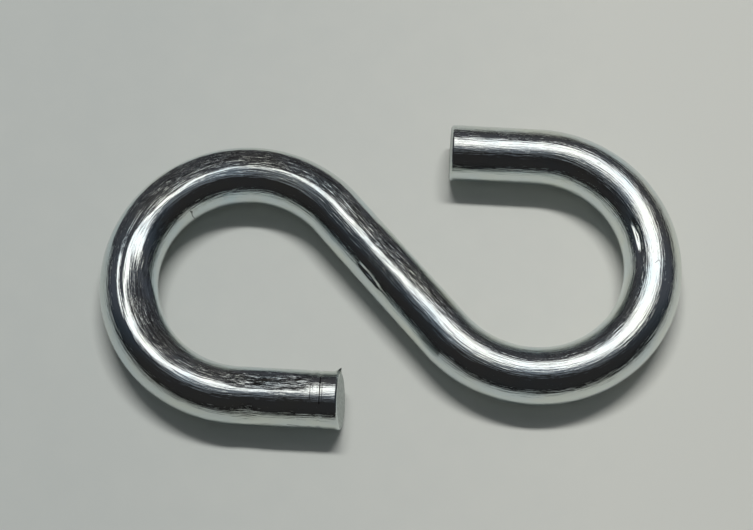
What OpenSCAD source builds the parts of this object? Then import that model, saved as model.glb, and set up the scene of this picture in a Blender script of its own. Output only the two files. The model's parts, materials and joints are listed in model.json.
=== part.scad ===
// Open S hook, bent cold from one length of round steel wire.
// It lies flat with the wire resting on z = 0. Both straight tips run along X,
// and the origin is under the middle of the outline. Millimetres and degrees.

/* [Wire] */
// Diameter of the round wire
wire_d = 5; // [3:0.1:7]

/* [Bends] */
// Inner radius of the bend on the +X side, half the width of its seat
seat_r_a = 7.8; // [5:0.05:12]
// Inner radius of the bend on the -X side, half the width of its seat
seat_r_b = 7.7; // [5:0.05:12]
// Angle that each bend turns through, from the shank round to its tip
turn = 227; // [200:1:245]
// How much the wire's radius swells where it is bent
swell = 0.02; // [0.01:0.01:0.15]

/* [Straights] */
// Straight shank between the two bends
shank_l = 14.8; // [8:0.1:40]
// Straight tip after the +X bend, measured along its middle
tip_l_a = 7.8; // [3:0.1:14]
// Straight tip after the -X bend, measured along its middle
tip_l_b = 8.8; // [3:0.1:14]

/* [Cut ends] */
// Lean of the sheared face on the +X hook's tip, where 0 is square to the wire
cut_lean_a = 0; // [0:1:15]
// Lean of the sheared face on the -X hook's tip, its upper edge set back
cut_lean_b = 8; // [0:1:15]
// Width of the bevel that tumbling leaves round each cut face
edge_break = 0.25; // [0.1:0.05:0.6]

/* [Hidden] */
$fn = 96;

wire_r = wire_d / 2;
// Radius of the wire's section in the bends
bent_r = wire_r + swell;
// Radii of the circles that the wire's middle follows in the two bends
bend_r_a = seat_r_a + bent_r;
bend_r_b = seat_r_b + bent_r;
// How far a straight run reaches into a bend, short enough that the bend's
// swollen section still holds all of it
root = sqrt(swell * min(seat_r_a, seat_r_b));
// The shank falls from -X to +X at the angle that leaves both tips along X
shank_fall = turn - 180;
// Size of the block that cuts a tip to length, wide enough for any lean
cutter = 4 * wire_d;

// Centre of the circle that a bend follows, seen from the middle of the shank
function bend_centre(r) = [
    cos(shank_fall) * shank_l / 2 + sin(shank_fall) * r,
    cos(shank_fall) * r - sin(shank_fall) * shank_l / 2
];

// The outline reaches one bend radius and the wire's own past each bend's centre
reach_a = bend_centre(bend_r_a) + [1, 1] * (bend_r_a + bent_r);
reach_b = bend_centre(bend_r_b) + [1, 1] * (bend_r_b + bent_r);
middle = (reach_a - reach_b) / 2;

// What shearing and tumbling take off the end of a tip that runs along +Z:
// all that lies past the leaning face, and a 45 degree bevel round its rim
module end_cut(lean) {
    rotate([0, lean, 0]) {
        translate([-cutter / 2, -cutter / 2, 0])
            cube(cutter);
        rotate_extrude()
            polygon([
                [wire_r - edge_break, 0],
                [cutter / 2, 0],
                [cutter / 2, wire_r - edge_break - cutter / 2]
            ]);
    }
}

// Straight tip along +Z, rooted in the bend below z = 0
module tip(length, lean) {
    difference() {
        translate([0, 0, -root])
            cylinder(h = root + length + wire_d, r = wire_r);
        translate([0, 0, length])
            end_cut(lean);
    }
}

// One bend and its tip, on the +X side of a shank centred on the origin
module hook(bend_r, tip_l, lean) {
    translate(bend_centre(bend_r)) {
        rotate([0, 0, 90 - turn])
            rotate_extrude(angle = turn)
                translate([bend_r, 0])
                    circle(bent_r);
        translate([0, bend_r, 0])
            rotate([0, -90, 0])
                tip(tip_l, lean);
    }
}

module s_hook() {
    color("lightsteelblue")
        translate([-middle[0], -middle[1], bent_r]) {
            rotate([0, 90, -shank_fall])
                cylinder(h = shank_l + 2 * root, r = wire_r, center = true);
            hook(bend_r_a, tip_l_a, cut_lean_a);
            rotate([0, 0, 180])
                hook(bend_r_b, tip_l_b, cut_lean_b);
        }
}

s_hook();
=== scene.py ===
import json
import math

import bmesh
import bpy
from mathutils import Matrix, Vector


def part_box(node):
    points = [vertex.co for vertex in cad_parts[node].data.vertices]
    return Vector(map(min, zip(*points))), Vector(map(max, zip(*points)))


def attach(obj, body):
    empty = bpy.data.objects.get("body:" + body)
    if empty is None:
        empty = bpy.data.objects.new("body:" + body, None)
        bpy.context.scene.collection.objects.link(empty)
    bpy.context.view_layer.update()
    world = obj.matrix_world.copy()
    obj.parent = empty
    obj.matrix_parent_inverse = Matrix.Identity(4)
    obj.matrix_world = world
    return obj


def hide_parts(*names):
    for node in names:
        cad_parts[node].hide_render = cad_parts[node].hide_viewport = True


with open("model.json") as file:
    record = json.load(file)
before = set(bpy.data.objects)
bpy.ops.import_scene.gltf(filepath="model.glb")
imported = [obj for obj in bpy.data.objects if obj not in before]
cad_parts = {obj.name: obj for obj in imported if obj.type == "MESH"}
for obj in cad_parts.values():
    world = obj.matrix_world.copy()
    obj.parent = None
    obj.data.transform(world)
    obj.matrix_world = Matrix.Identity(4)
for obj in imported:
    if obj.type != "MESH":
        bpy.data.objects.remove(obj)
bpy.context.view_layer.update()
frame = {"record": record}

MM = 0.001
UP = Vector((0, 0, 1))
# The way +Y lies, as an angle from +X
NORTH = math.pi / 2
mounts = {mount["name"]: mount for mount in frame["record"]["mounts"]}
low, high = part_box("s_hook")

# ---- The hook's driving dimensions ----

# Radius of the round wire, and the little that its section swells in the bends
WIRE_R = mounts["tip_a"]["dims"]["r_mm"] * MM
BENT_R = (high.z - low.z) / 2
# Radii of the circles that the wire's middle follows in the two bends
BEND_R_A = 7.8 * MM + BENT_R
BEND_R_B = 7.7 * MM + BENT_R
# Angle that each bend turns through, the shank between them and the straight tips
TURN = math.radians(227)
SHANK_L = 14.8 * MM
TIP_L_A = 7.8 * MM
TIP_L_B = 8.8 * MM
# Lean of the sheared face of tip B, and the width of the broken edge round both faces
CUT_LEAN_B = math.radians(8)
EDGE_BREAK = 0.25 * MM

# ---- How finely the wire is modelled ----

# Vertices round the wire, and the length between two rings of them
SIDES = 144
RING_STEP = 0.2 * MM
# Length at each end that is modelled with the cut, and how many rings are cut into it
END_ZONE = 1.6 * MM
END_CUTS = 6
# Rings that round a cut's broken edge
BREAK_STEPS = 4
# A vertex of an open ring lies nearer to the ring's middle than this
RING_REACH = 1.2 * WIRE_R
# How squarely a face of the mesh looks along the tips when it lies in one of the cuts
CUT_FACING = 0.97


def heading(angle):
    """The level direction at an angle from +X."""
    return Vector((math.cos(angle), math.sin(angle), 0))


def bend_centre(bend_r):
    """Centre of a bend's circle, seen from the middle of the shank."""
    shank = heading(math.pi - TURN)
    return shank * SHANK_L / 2 + UP.cross(shank) * bend_r


# The shank's middle, which puts the outline's middle over the box's
OUTLINE_A = bend_centre(BEND_R_A) + Vector((1, 1, 0)) * BEND_R_A
OUTLINE_B = bend_centre(BEND_R_B) + Vector((1, 1, 0)) * BEND_R_B
SHANK_MIDDLE = (low + high) / 2 - (OUTLINE_A - OUTLINE_B) / 2
CENTRE_A = SHANK_MIDDLE + bend_centre(BEND_R_A)
CENTRE_B = SHANK_MIDDLE - bend_centre(BEND_R_B)
AXIS_Z = SHANK_MIDDLE.z

# ---- The wire's run, from the cut face of tip B to the cut face of tip A ----

TOTAL_L = TIP_L_A + TIP_L_B + SHANK_L + (BEND_R_A + BEND_R_B) * TURN
FACE_B = CENTRE_B + heading(-NORTH) * BEND_R_B + heading(0) * TIP_L_B
TIP_A_START = CENTRE_A + heading(NORTH) * BEND_R_A
FACE_A = TIP_A_START + heading(math.pi) * TIP_L_A
SHANK_START = CENTRE_B + heading(-NORTH - TURN) * BEND_R_B
# Each stretch as its kind, its length and what places it: a straight's start and way,
# or a bend's centre, radius, first angle and side that it turns to
RUN = [
    ("straight", TIP_L_B, (FACE_B, heading(math.pi))),
    ("bend", BEND_R_B * TURN, (CENTRE_B, BEND_R_B, -NORTH, -1)),
    ("straight", SHANK_L, (SHANK_START, heading(math.pi - TURN))),
    ("bend", BEND_R_A * TURN, (CENTRE_A, BEND_R_A, NORTH - TURN, 1)),
    ("straight", TIP_L_A, (TIP_A_START, heading(math.pi))),
]


def place_on_run(point):
    """A point as the straightened wire has it: the way along it, then across it and up."""
    nearest = None
    begun = 0.0
    for kind, length, placing in RUN:
        if kind == "straight":
            start, way = placing
            along = (point - start).dot(way)
            across = (point - start).dot(way.cross(UP))
        else:
            centre, radius, first, side = placing
            spoke = point - centre
            middle = length / radius / 2
            turned = (math.atan2(spoke.y, spoke.x) - first) * side
            turned = middle + math.remainder(turned - middle, 2 * math.pi)
            along = turned * radius
            across = (spoke.xy.length - radius) * side
        miss = math.hypot(max(0.0, -along, along - length), across)
        if nearest is None or miss < nearest[0]:
            nearest = (miss, begun + along, across)
        begun += length
    return Vector((nearest[1], nearest[2], point.z - AXIS_Z))


# ---- Marks of the bending tool, the shear and the tumbling barrel ----

# Angles round the wire are in degrees from straight up, and grow towards the side inside bend B

# The flats that the bending tool pressed into the wire, inside bend B, outside it and along the shank.
# By the place along the run in mm: the angle it faces, its depth and its edges' rounding in mm
INNER_FLAT = [
    (2.3, 14, 0, 0.01),
    (3.8, 18, 0.15, 0.02),
    (5.4, 20, 0.22, 0.02),
    (8, 20, 0.2, 0.02),
    (10.5, 20, 0.08, 0.05),
    (13, 20, 0.12, 0.1),
    (16.6, 25, 0.34, 0.28),
    (19.5, 30, 0.55, 0.35),
    (21.5, 30, 0.48, 0.2),
    (25, 26, 0.16, 0.05),
    (27.5, 12, 0.12, 0.03),
    (30.8, 8, 0, 0.02),
]
OUTER_FLAT = [
    (25.6, -24, 0, 0.02),
    (27.3, -24, 0.17, 0.015),
    (29, -22, 0.24, 0.015),
    (30.8, -21, 0.31, 0.015),
    (33.5, -20, 0.37, 0.015),
    (36, -20, 0.31, 0.015),
    (41, -19, 0.2, 0.015),
    (47, -20, 0.18, 0.02),
    (51, -21, 0.16, 0.03),
    (54, -21, 0.19, 0.03),
    (58, -21, 0.13, 0.04),
    (62, -20, 0.06, 0.03),
    (64.5, -18, 0, 0.01),
]
LOWER_FLAT = [
    (32, 8, 0, 0.01),
    (37, 13, 0.03, 0.01),
    (41, 16, 0.04, 0.01),
    (51, 20, 0.04, 0.01),
    (57, 21, 0.03, 0.01),
    (61, 18, 0, 0.01),
]
# How much of the wire's roundness is left across a flat
FLAT_CROWN = 0.28
# How far round from the angle it faces a flat can reach, in radians
FLAT_REACH = 1.2
# The press that a full vertex weight stands for
DEEPEST_PRESS = 0.5 * MM
# Length over which a bend's swelling dies out at its ends
SWELL_RUN = 3 * MM
# Bruised skin. By the place along the run in mm: the angles of its two edges, and how bruised it is
BRUISED = [
    (1.6, -2, 40, 0),
    (3, -8, 44, 1.4),
    (8, -8, 44, 1.6),
    (10.5, 0, 44, 0.7),
    (13, 0, 44, 0.5),
    (16, -2, 60, 0.6),
    (21, -4, 66, 0.65),
    (24.5, 6, 66, 0.65),
    (28, 28, 66, 0.6),
    (30.6, 10, 50, 0.7),
    (30.7, -48, -10, 0.6),
    (33, -46, 8, 0.7),
    (44, -48, 10, 0.8),
    (52, -46, 10, 0.9),
    (58, -46, 10, 0.9),
    (62, -46, 4, 0.9),
    (66, -44, -4, 0.4),
    (86, -44, -8, 0.5),
    (94, -44, -8, 0.5),
    (104, -40, -4, 0.3),
]
# Angle in radians over which bruising dies out at those edges
BRUISE_BORDER = 0.3
MOST_BRUISED = max(stretch[3] for stretch in BRUISED)
# The grain of bruised skin, its depth, and the share of it that all the rest of the skin has
BRUISE_SIZE = 0.5 * MM
BRUISE_DEPTH = 0.035 * MM
LEAST_BRUISE = 0.04
# Rings that the shear's clamp pinched: how far back from cut face B, and how deep
CLAMP_RINGS = [(1.8 * MM, 0.1 * MM), (2.6 * MM, 0.07 * MM)]
# The burr on the rim of cut face B: its angle above level, its height, how far it leans out and the
# width of its root
BURR_RISE = math.radians(22)
BURR_HEIGHT = 0.45 * MM
BURR_LEAN = BURR_HEIGHT / 6
BURR_SIZE = 0.7 * MM
# Dents: the place along the run in mm and its angle, then the radius and depth in mm
DENTS = [(7.9, -52, 1.6, 0.16), (66.5, 50, 1.5, 0.03), (22, 38, 1.0, 0.03), (18, 44, 1.2, 0.03)]
# Scores along the wire: where each begins and ends, then its half width and depth in mm. The one of
# negative depth is a ridge that the presses left standing between them
SCORES = [
    ((19, -12), (30.5, -13), 0.35, 0.07),
    ((24.3, 40), (31.5, 38), 1.4, -0.16),
    ((89.4, -31), (93.4, -31), 0.36, 0.24),
    ((54.4, 50), (57.6, 54), 0.25, 0.18),
]
# Scratches in the plate, and the lines where the clamp's edges bit, each painted dark as painted shade for
# its groove: where each begins and ends, then its half width in mm
SCRATCHES_PAINTED_DARK = [
    ((33.5, 62), (33.62, 65), 0.13),
    ((33.55, 63), (33.45, 75), 0.07),
    ((33.45, 75), (33.65, 91), 0.06),
    ((4.4, -78), (2.5, -86), 0.05),
    ((1.8, -24), (1.8, 36), 0.07),
    ((2.6, -16), (2.6, 16), 0.04),
    ((88.5, -4), (88.8, 3), 0.03),
    ((88.8, 3), (88.3, 8), 0.025),
]


def eased(points, place):
    """The values at a place between points, each a place and its values, with an easy curve."""
    before = points[0]
    for after in points:
        if place < after[0]:
            break
        before = after
    # before the first point, or past the last
    if after[0] <= before[0]:
        return before[1:]
    part = (place - before[0]) / (after[0] - before[0])
    part = max(0.0, min(1.0, part))
    part *= part * (3 - 2 * part)
    return [a + (b - a) * part for a, b in zip(before[1:], after[1:])]


def bowl(away, radius, depth):
    """The depth of a round hollow at a distance from its middle."""
    return depth * (1 + math.cos(math.pi * away / radius)) / 2 if away < radius else 0.0


def pressed_in(along, angle):
    """How deep the marks are at a place, in mm along the run and radians round it, and how bruised."""
    wire_r = BENT_R / MM
    press = 0.0
    for flat in (INNER_FLAT, OUTER_FLAT, LOWER_FLAT):
        facing, depth, rounding = eased(flat, along)
        off = angle - math.radians(facing)
        if depth > 0 and abs(off) < FLAT_REACH:
            # a rounded edge between the flat and what is pressed there already
            below = wire_r - (wire_r - depth) / math.cos(off) - press
            blend = max(rounding - abs(below), 0) / rounding
            below = max(below, 0) + blend * blend * rounding / 4 * min(1, depth / rounding)
            press += below * (1 - FLAT_CROWN)
    for dent_along, dent_angle, radius, depth in DENTS:
        away = math.hypot(along - dent_along, (angle - math.radians(dent_angle)) * wire_r)
        press += bowl(away, radius, depth)
    for (begin, first), (end, last), width, depth in SCORES:
        part = (along - begin) / (end - begin)
        if 0 < part < 1:
            away = abs(angle - math.radians(first + (last - first) * part)) * wire_r
            press += bowl(away, width, depth * math.sin(math.pi * part))
    first, last, amount = eased(BRUISED, along)
    inside = min(angle - math.radians(first), math.radians(last) - angle) / BRUISE_BORDER
    return press, amount * max(0.0, min(1.0, inside))


# ---- Modelling the hook ----


def deselect_all():
    """Deselects every object, so that an operator acts only on what is made or picked next."""
    bpy.ops.object.select_all(action="DESELECT")


def pick(mesh, kind, wanted):
    """In edit mode, selects just the parts of one kind, VERT, EDGE or FACE, that are wanted."""
    shape = bmesh.from_edit_mesh(mesh)
    parts = {"VERT": shape.verts, "EDGE": shape.edges, "FACE": shape.faces}
    bpy.ops.mesh.select_all(action="DESELECT")
    bpy.ops.mesh.select_mode(type=kind)
    for part in parts[kind]:
        part.select_set(wanted(part))
    shape.select_flush_mode()
    bmesh.update_edit_mesh(mesh)


def pick_open_ring(mesh, middle):
    """Selects the open ring round a middle."""
    pick(mesh, "VERT", lambda v: v.is_boundary and (v.co - middle).length < RING_REACH)


def draw_ring(move):
    """Draws the selected open ring on by a move."""
    bpy.ops.mesh.extrude_region_move(TRANSFORM_OT_translate={"value": move})


def draw_straight(mesh, length, way):
    """Draws the open ring straight on, and cuts what that makes into rings."""
    draw_ring(way * length)
    end = [v.co.copy() for v in bmesh.from_edit_mesh(mesh).verts if v.select]
    pick(mesh, "EDGE", lambda e: e.calc_length() > length - RING_STEP / 4)
    bpy.ops.mesh.subdivide_edgering(number_cuts=round(length / RING_STEP) - 1, interpolation="LINEAR")
    pick_open_ring(mesh, sum(end, Vector()) / len(end))


def size_ring(factor, centre):
    """Makes the selected ring larger or smaller about its own centre."""
    bpy.ops.transform.resize(value=(factor, factor, factor), center_override=centre)


def wrap_bend(centre, radius, turn):
    """Turns the open ring round a bend, in steps about as long as a straight's."""
    steps = round(radius * abs(turn) / RING_STEP)
    bpy.ops.mesh.spin(steps=steps, angle=-turn, center=centre, axis=UP)


def lean_ring(lean, centre):
    """Leans the selected ring about the Y axis and stretches it, so that it still fits the round wire."""
    bpy.ops.transform.rotate(value=lean, orient_axis="Y", center_override=centre)
    stretch = 1 / math.cos(lean)
    bpy.ops.transform.resize(value=(stretch, 1, stretch), center_override=centre)


def shape_cut_end(mesh, face, way, lean):
    """Shapes an open end as sheared and tumbled: the last of the wire, the face's rounded edge and the
    leaning face, closed in rings. Face is the middle of the cut, and way points out of the wire."""
    root = face - way * END_ZONE
    rim = face - way * EDGE_BREAK
    facing = Vector((way.x * math.cos(lean), 0, math.sin(lean)))
    pick_open_ring(mesh, root)
    draw_ring(rim - root)
    if lean:
        lean_ring(lean, rim)
    pick(mesh, "EDGE", lambda e: e.calc_length() > END_ZONE / 2)
    bpy.ops.mesh.subdivide_edgering(number_cuts=END_CUTS, interpolation="LINEAR")
    pick_open_ring(mesh, rim)
    ring_r, centre = WIRE_R, rim
    for step in range(1, BREAK_STEPS + 1):
        angle = step / BREAK_STEPS * math.pi / 2
        next_centre = rim + facing * EDGE_BREAK * math.sin(angle)
        next_r = WIRE_R - EDGE_BREAK * (1 - math.cos(angle))
        draw_ring(next_centre - centre)
        size_ring(next_r / ring_r, next_centre)
        ring_r, centre = next_r, next_centre
    while ring_r > 2 * RING_STEP:
        draw_ring(Vector())
        size_ring(1 - RING_STEP / ring_r, centre)
        ring_r -= RING_STEP
    draw_ring(Vector())
    bpy.ops.mesh.merge(type="CENTER")


def model_hook():
    """The hook as one length of wire: drawn, bent twice and sheared at both ends."""
    deselect_all()
    start = FACE_B + heading(math.pi) * END_ZONE
    bpy.ops.mesh.primitive_circle_add(
        vertices=SIDES, radius=WIRE_R, location=start, rotation=(0, math.pi / 2, 0)
    )
    hook = bpy.context.object
    hook.name = "hook_wire"
    bpy.ops.object.transform_apply(location=True, rotation=True, scale=True)
    bpy.ops.object.mode_set(mode="EDIT")
    bpy.ops.mesh.select_all(action="SELECT")
    for number, (kind, length, placing) in enumerate(RUN):
        if kind == "straight":
            at_an_end = number in (0, len(RUN) - 1)
            draw_straight(hook.data, length - at_an_end * END_ZONE, placing[1])
        else:
            centre, radius, _, side = placing
            wrap_bend(centre, radius, side * TURN)
    shape_cut_end(hook.data, FACE_A, heading(math.pi), 0)
    shape_cut_end(hook.data, FACE_B, heading(0), CUT_LEAN_B)
    bpy.ops.mesh.select_all(action="SELECT")
    bpy.ops.mesh.normals_make_consistent(inside=False)
    bpy.ops.object.mode_set(mode="OBJECT")
    bpy.ops.object.shade_smooth()
    return hook


def mark_shear(hook):
    """Leaves the rings that the shear's clamp pinched near tip B, and the burr on the rim of its cut."""
    mesh = hook.data
    bpy.ops.object.mode_set(mode="EDIT")
    for back, depth in CLAMP_RINGS:
        centre = FACE_B + heading(math.pi) * back
        pick(mesh, "VERT", lambda v: abs(v.co.x - centre.x) < RING_STEP / 2 and v.co.y < CENTRE_B.y)
        size_ring(1 - depth / WIRE_R, centre)
    burr = heading(NORTH) * math.cos(BURR_RISE) + UP * math.sin(BURR_RISE)
    root = FACE_B + burr * WIRE_R
    pick(mesh, "EDGE", lambda e: all((v.co - root).length < BURR_SIZE for v in e.verts))
    bpy.ops.mesh.subdivide(number_cuts=1)
    nearest = min((v.co - root).length for v in bmesh.from_edit_mesh(mesh).verts)
    pick(mesh, "VERT", lambda v: (v.co - root).length <= nearest)
    bpy.ops.transform.translate(
        value=burr * BURR_HEIGHT + heading(0) * BURR_LEAN,
        use_proportional_edit=True,
        proportional_edit_falloff="SHARP",
        proportional_size=BURR_SIZE,
    )
    bpy.ops.object.mode_set(mode="OBJECT")


def plate_hook(hook):
    """Gives the wire its plate, and the two cut faces the duller one."""
    hook.data.materials.append(bright_zinc_plate())
    hook.data.materials.append(sheared_zinc_plate())
    bpy.ops.object.mode_set(mode="EDIT")
    pick(hook.data, "FACE", is_cut_face)
    hook.active_material_index = 1
    bpy.ops.object.material_slot_assign()
    bpy.ops.object.mode_set(mode="OBJECT")


def is_cut_face(face):
    """Whether a face of the mesh lies in one of the two cuts."""
    place = face.calc_center_median()
    return abs(face.normal.x) > CUT_FACING and any(
        (place - middle).length < WIRE_R and abs(place.x - middle.x) < END_ZONE / 3
        for middle in (FACE_A, FACE_B)
    )


def mark_run(hook):
    """Gives each vertex its place on the straightened wire in millimetres, for patterns that follow it,
    and how bruised its skin is. Returns the places, and the depth and bruising of the marks there."""
    mesh = hook.data
    places = [place_on_run(vertex.co) for vertex in mesh.vertices]
    marks = [pressed_in(place.x / MM, math.atan2(place.y, place.z)) for place in places]
    run = mesh.attributes.new("run_mm", "FLOAT_VECTOR", "POINT")
    for place, vertex in zip(places, run.data):
        vertex.vector = place / MM
    skin = mesh.attributes.new("bruised", "FLOAT", "POINT")
    for (_, bruised), vertex in zip(marks, skin.data):
        vertex.value = bruised
    return places, marks


def weigh(hook, name, weights):
    """Adds a vertex group with a weight for each vertex."""
    group = hook.vertex_groups.new(name=name)
    for index, weight in enumerate(weights):
        group.add([index], weight, "REPLACE")


def displace(hook, name, depth, group, texture=None, level=0.0):
    """Moves the skin along its normals by a depth, as much as the vertex group weighs."""
    move = hook.modifiers.new(name, "DISPLACE")
    move.strength = depth
    move.mid_level = level
    move.vertex_group = group
    if texture:
        move.texture = texture
        move.texture_coords = "LOCAL"
    bpy.ops.object.modifier_apply(modifier=name)


def mark_skin(hook, places, marks):
    """Swells the bends a little and presses the tool's marks into the skin."""
    bend_b_end = TIP_L_B + BEND_R_B * TURN
    bends = [(TIP_L_B, bend_b_end), (bend_b_end + SHANK_L, TOTAL_L - TIP_L_A)]
    inside = [max(min(place.x - begin, end - place.x) for begin, end in bends) for place in places]
    weigh(hook, "swell", [max(0.0, min(1.0, depth / SWELL_RUN)) for depth in inside])
    weigh(hook, "press", [press * MM / DEEPEST_PRESS for press, _ in marks])
    weigh(hook, "bruise", [max(LEAST_BRUISE, bruised / MOST_BRUISED) for _, bruised in marks])
    deselect_all()
    hook.select_set(True)
    bpy.context.view_layer.objects.active = hook
    displace(hook, "swell", BENT_R - WIRE_R, "swell")
    displace(hook, "press", -DEEPEST_PRESS, "press")
    mottle = bpy.data.textures.new("mottle", "CLOUDS")
    mottle.noise_scale = BRUISE_SIZE
    mottle.noise_depth = 2
    displace(hook, "bruise", BRUISE_DEPTH * MOST_BRUISED, "bruise", mottle, 1.0)


# ---- Materials ----


def colour(code):
    """An sRGB hex colour as the linear colour that a socket takes."""
    channels = [int(code[i : i + 2], 16) / 255 for i in (1, 3, 5)]
    linear = [c / 12.92 if c <= 0.04045 else ((c + 0.055) / 1.055) ** 2.4 for c in channels]
    return (*linear, 1)


def node(tree, kind, inputs=None, **settings):
    """Adds a node. Inputs go by name or number, each a plain value or another node's output to link."""
    made = tree.nodes.new("ShaderNode" + kind)
    for name, value in settings.items():
        setattr(made, name, value)
    for socket, value in (inputs or {}).items():
        if isinstance(value, bpy.types.NodeSocket):
            tree.links.new(value, made.inputs[socket])
        else:
            made.inputs[socket].default_value = value
    return made


def new_material(name):
    """A material with an empty node tree, and its Principled shader linked to its output."""
    material = bpy.data.materials.new(name)
    material.use_nodes = True
    tree = material.node_tree
    tree.nodes.clear()
    shader = node(tree, "BsdfPrincipled")
    node(tree, "OutputMaterial", {"Surface": shader.outputs["BSDF"]})
    return material, tree, shader


def scratches_painted_dark(tree, run):
    """How much of the skin lies in a scratch, painted dark as the shade in its groove, at a place: 1 in
    the middle of a scratch and 0 off it.
    """
    place = node(tree, "SeparateXYZ", {"Vector": run}).outputs
    angle = node(tree, "Math", {0: place["Y"], 1: place["Z"]}, operation="ARCTAN2").outputs[0]
    arc = node(tree, "Math", {0: angle, 1: BENT_R / MM}, operation="MULTIPLY").outputs[0]
    skin = node(tree, "CombineXYZ", {0: place["X"], 1: arc}).outputs[0]
    scratch_shade = 0
    for (begin, first), (end, last), half_width in SCRATCHES_PAINTED_DARK:
        start = Vector((begin, math.radians(first) * BENT_R / MM, 0))
        course = Vector((end, math.radians(last) * BENT_R / MM, 0)) - start
        away = node(tree, "VectorMath", {0: skin, 1: start}, operation="SUBTRACT").outputs[0]
        way = course.normalized()
        along = node(tree, "VectorMath", {0: away, 1: way}, operation="DOT_PRODUCT").outputs["Value"]
        along = node(tree, "Clamp", {0: along, 1: 0, 2: course.length}).outputs[0]
        nearest = node(tree, "VectorMath", {0: way, 3: along}, operation="SCALE").outputs[0]
        off = node(tree, "VectorMath", {0: away, 1: nearest}, operation="DISTANCE").outputs["Value"]
        # full over the middle third of its width, and gone at its edges
        line = node(tree, "MapRange", {"Value": off, "From Min": half_width, "From Max": half_width / 3})
        scratch_shade = node(tree, "Math", {0: line.outputs[0], 1: scratch_shade}, operation="MAXIMUM").outputs[0]
    return scratch_shade


# The grains in the plate: the length of each along the wire and its width in mm, and how it breaks up
GRAINS = {
    # clouds in the passive film
    "film": (5, 2.5, {"Detail": 3}),
    # dark dirt that bruised skin holds in spots and streaks
    "dirt": (1.5, 0.28, {"Detail": 4, "Roughness": 0.65}),
    # lines left by the drawing die, drawn coarser than they are so that they show
    "lines": (2, 0.12, {"Detail": 3}),
    # the plate's slight orange peel
    "peel": (1.2, 0.8, {"Detail": 1}),
    # scuffs in bruised skin, drawn out along the wire, and pits among them
    "scuffs": (1.2, 0.24, {"Detail": 3, "Distortion": 0.8}),
    "pits": (0.5, 0.22, {"Detail": 2}),
}
# Those that can be felt, each over the one before: how deep it is, and whether only bruised skin has it
RELIEFS = [
    ("lines", 0.028 * MM, False),
    ("peel", 0.008 * MM, False),
    ("scuffs", 0.032 * MM, True),
    ("pits", 0.022 * MM, True),
]


def bright_zinc_plate():
    """Bright zinc, barrel plated on drawn steel wire and clear passivated. It is a soft, cool mirror. The
    wire's drawing lines feather the edges of what it mirrors, the passive film tints it a little blue,
    lilac and straw, and skin that the bending tool bruised is milkier and full of fine pits."""
    material, tree, shader = new_material("bright_zinc_plate")
    run = node(tree, "Attribute", attribute_name="run_mm").outputs["Vector"]
    bruised = node(tree, "Attribute", attribute_name="bruised").outputs["Fac"]

    grains = {}
    for name, (along, across, texture) in GRAINS.items():
        scaled = {"Vector": run, "Scale": (1 / along, 1 / across, 1 / across)}
        place = node(tree, "Mapping", scaled).outputs[0]
        grains[name] = node(tree, "TexNoise", {"Vector": place, "Scale": 1} | texture).outputs[0]

    film = node(tree, "ValToRGB", {"Fac": grains["film"]})
    tints = film.color_ramp.elements
    tints[0].position, tints[0].color = 0.3, colour("#D4E2E7")
    tints[1].position, tints[1].color = 0.7, colour("#E3E7DF")
    tints.new(0.45).color = colour("#DBE3E4")
    spots = node(tree, "MapRange", {"Value": grains["dirt"], "From Min": 0.4, "From Max": 0.7}).outputs[0]
    dirt = node(tree, "Math", {0: spots, 1: bruised}, operation="MULTIPLY", use_clamp=True).outputs[0]
    # painted shade: scratch lines and clamp lines are painted dark too, standing in for the dark that a
    # groove's walls mirror into each other
    dark = node(tree, "Math", {0: dirt, 1: scratches_painted_dark(tree, run)}, operation="MAXIMUM").outputs[0]
    shades = {0: dark, 6: film.outputs["Color"], 7: colour("#4A4946")}
    plate = node(tree, "Mix", shades, data_type="RGBA").outputs[2]
    tree.links.new(plate, shader.inputs["Base Color"])

    normal = None
    for name, depth, only_bruised in RELIEFS:
        relief = {"Strength": bruised if only_bruised else 1, "Distance": depth, "Height": grains[name]}
        if normal:
            relief["Normal"] = normal
        normal = node(tree, "Bump", relief).outputs[0]
    tree.links.new(normal, shader.inputs["Normal"])

    shader.inputs["Metallic"].default_value = 1
    # a drawn line, or bruised skin, is a little less smooth
    smooth = node(tree, "MapRange", {"Value": grains["lines"], "To Min": 0.06, "To Max": 0.12}).outputs[0]
    dull = node(tree, "Math", {0: bruised, 1: 0.04, 2: smooth}, operation="MULTIPLY_ADD").outputs[0]
    tree.links.new(dull, shader.inputs["Roughness"])
    return material


# A drag line on a cut face: its size through the face, across it and up it, and its depth
DRAG_LINE = (0.15 * MM, 0.15 * MM, 1.5 * MM)
DRAG_LINE_DEPTH = 0.02 * MM


def sheared_zinc_plate():
    """The same zinc plate over steel torn by the shear. The torn grain under it makes it a dull grey, with
    upright drag lines."""
    material, tree, shader = new_material("sheared_zinc_plate")
    face = node(tree, "TexCoord").outputs["Object"]
    scaled = {"Vector": face, "Scale": tuple(1 / size for size in DRAG_LINE)}
    place = node(tree, "Mapping", scaled).outputs[0]
    lines = node(tree, "TexNoise", {"Vector": place, "Scale": 1, "Detail": 3}).outputs[0]
    grey = node(tree, "ValToRGB", {"Fac": lines})
    greys = grey.color_ramp.elements
    greys[0].position, greys[0].color = 0.35, colour("#A6ADAB")
    greys[1].position, greys[1].color = 0.65, colour("#C8CECB")
    tree.links.new(grey.outputs["Color"], shader.inputs["Base Color"])
    relief = {"Strength": 1, "Distance": DRAG_LINE_DEPTH, "Height": lines}
    tree.links.new(node(tree, "Bump", relief).outputs[0], shader.inputs["Normal"])
    shader.inputs["Metallic"].default_value = 1
    rough = node(tree, "MapRange", {"Value": lines, "To Min": 0.35, "To Max": 0.5}).outputs[0]
    tree.links.new(rough, shader.inputs["Roughness"])
    return material


# Width of the floor's clouds, and how much they shade it beside the painted shade that greys it from right
# to left
FLOOR_CLOUD = 3 * MM
CLOUD_SHARE = 0.25


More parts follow.
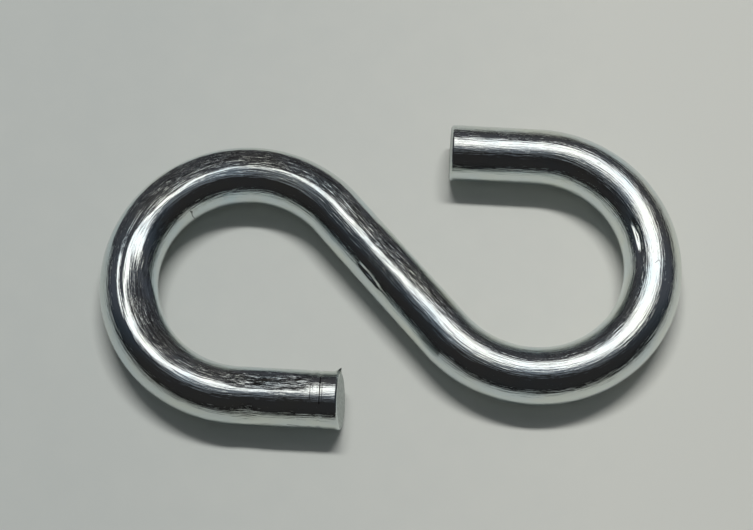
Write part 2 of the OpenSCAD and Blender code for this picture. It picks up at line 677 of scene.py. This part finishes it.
def floor_sheet():
    """A smooth painted sheet with a satin face: pale and faintly clouded, with painted shade that makes it
    a little greyer on the left.
    """
    material, tree, shader = new_material("pale_satin_sheet")
    place = node(tree, "TexCoord").outputs["Object"]
    # painted shade: the sheet is made darker towards the left, by its place across the floor from left to
    # right
    side = node(tree, "SeparateXYZ", {"Vector": place}).outputs["X"]
    side = node(tree, "MapRange", {"Value": side, "From Min": low.x, "From Max": high.x}).outputs[0]
    clouds = node(tree, "TexNoise", {"Vector": place, "Scale": 1 / FLOOR_CLOUD, "Detail": 4}).outputs[0]
    shade = node(tree, "Math", {0: clouds, 1: CLOUD_SHARE, 2: side}, operation="MULTIPLY_ADD").outputs[0]
    paint_and_painted_shade = node(tree, "ValToRGB", {"Fac": shade})
    paint_and_shade_stops = paint_and_painted_shade.color_ramp.elements
    paint_and_shade_stops[0].position, paint_and_shade_stops[0].color = 0.1, colour("#C8CCC7")
    paint_and_shade_stops[1].position, paint_and_shade_stops[1].color = 1, colour("#DCDDD5")
    tree.links.new(paint_and_painted_shade.outputs["Color"], shader.inputs["Base Color"])
    shader.inputs["Roughness"].default_value = 0.5
    return material


# ---- The stage: floor, lamps, room and camera ----

FLOOR_SIZE = 1.6
# The lamps: the side that each hangs on, its rise above the floor in degrees, its distance from the hook
# and its size along the floor and across in metres, how bright it looks, its tint, and whether it is only
# mirrored. The others give the plain light, and aren't mirrored
LAMPS = {
    "strip_lamp": (NORTH, 65, 1.1, (0.6, 0.09), 50, "#FFFFFF", False),
    "softbox": (NORTH, 65, 1.12, (0.94, 0.58), 1.4, "#FFFDFA", True),
    "ceiling": (NORTH, 90, 1.12, (0.94, 0.4), 0.17, "#F0F6FF", True),
    "near_fill": (-NORTH, 60, 1.2, (1.2, 1.2), 0.25, "#EEFCFF", False),
}
# Heights between which the room's walls come out of the dark, as sines of the angle above level
WALL_FOOT = 0.02
WALL_TOP = 0.3


def lay_floor():
    """Lays the floor that the hook lies on."""
    deselect_all()
    bpy.ops.mesh.primitive_plane_add(size=FLOOR_SIZE, location=(0, 0, low.z))
    floor = bpy.context.object
    floor.name = "floor"
    floor.data.materials.append(floor_sheet())


def hang_lamps():
    """Hangs the lamps so that they face the hook: on the far side a long strip that lights the floor and
    gives crisp shadows, and a softbox round it that the metal mirrors, over the hook a dimly lit ceiling
    for the metal too, and on the near side a fill."""
    for name, (bearing, rise, distance, size, radiance, tint, mirrored) in LAMPS.items():
        deselect_all()
        rise = math.radians(rise)
        away = heading(bearing) * math.cos(rise) + UP * math.sin(rise)
        bpy.ops.object.light_add(type="AREA", location=away * distance)
        lamp = bpy.context.object
        lamp.name = name
        along = UP.cross(heading(bearing)).normalized()
        lamp.rotation_euler = Matrix((along, away.cross(along), away)).transposed().to_euler()
        lamp.visible_glossy = mirrored
        lamp.visible_diffuse = not mirrored
        lamp.data.shape = "RECTANGLE"
        lamp.data.size, lamp.data.size_y = size
        lamp.data.energy = radiance * math.pi * size[0] * size[1]
        lamp.data.color = colour(tint)[:3]


def light_room():
    """A dim room round the stage, lighter towards the lamps and dark low down."""
    world = bpy.data.worlds.new("dim_room")
    world.use_nodes = True
    bpy.context.scene.world = world
    tree = world.node_tree
    room = node(tree, "TexCoord").outputs["Generated"]
    way = node(tree, "SeparateXYZ", {"Vector": room}).outputs
    north = node(tree, "MapRange", {"Value": way["Y"], "From Min": -1}).outputs[0]
    walls = node(tree, "ValToRGB", {"Fac": north})
    # from the near side to the far side
    points = walls.color_ramp.elements
    points[0].position, points[0].color = 0.35, colour("#2A2929")
    points[1].position, points[1].color = 0.8, colour("#48474A")
    points.new(0.5).color = colour("#32373D")
    points.new(0.6).color = colour("#494B52")
    heights = {"Value": way["Z"], "From Min": WALL_FOOT, "From Max": WALL_TOP}
    lit = node(tree, "MapRange", heights).outputs[0]
    tree.links.new(walls.outputs["Color"], tree.nodes["Background"].inputs["Color"])
    tree.links.new(lit, tree.nodes["Background"].inputs["Strength"])


def place_camera():
    """Looks down on the hook from the near side, turned a little about the line of sight."""
    azimuth, elevation, roll = (math.radians(angle) for angle in (0.2, 68.84, 2.8))
    target = Vector((-1.4, 1.67, 0)) * MM
    distance = 158.4 * MM
    back = heading(azimuth - NORTH) * math.cos(elevation) + UP * math.sin(elevation)
    right = heading(azimuth)
    up = back.cross(right)
    axes = Matrix((right, up, back)).transposed()
    deselect_all()
    bpy.ops.object.camera_add(location=target + back * distance)
    camera = bpy.context.object
    camera.rotation_euler = (axes @ Matrix.Rotation(roll, 3, "Z")).to_euler()
    camera.data.lens = 85
    camera.data.sensor_width = 36
    bpy.context.scene.camera = camera


# ---- The hook, then its stage ----

hook = model_hook()
places, marks = mark_run(hook)
mark_skin(hook, places, marks)
mark_shear(hook)
plate_hook(hook)
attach(hook, "root")
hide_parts("s_hook")

place_camera()
lay_floor()
hang_lamps()
light_room()
bpy.context.scene.view_settings.view_transform = "Standard"
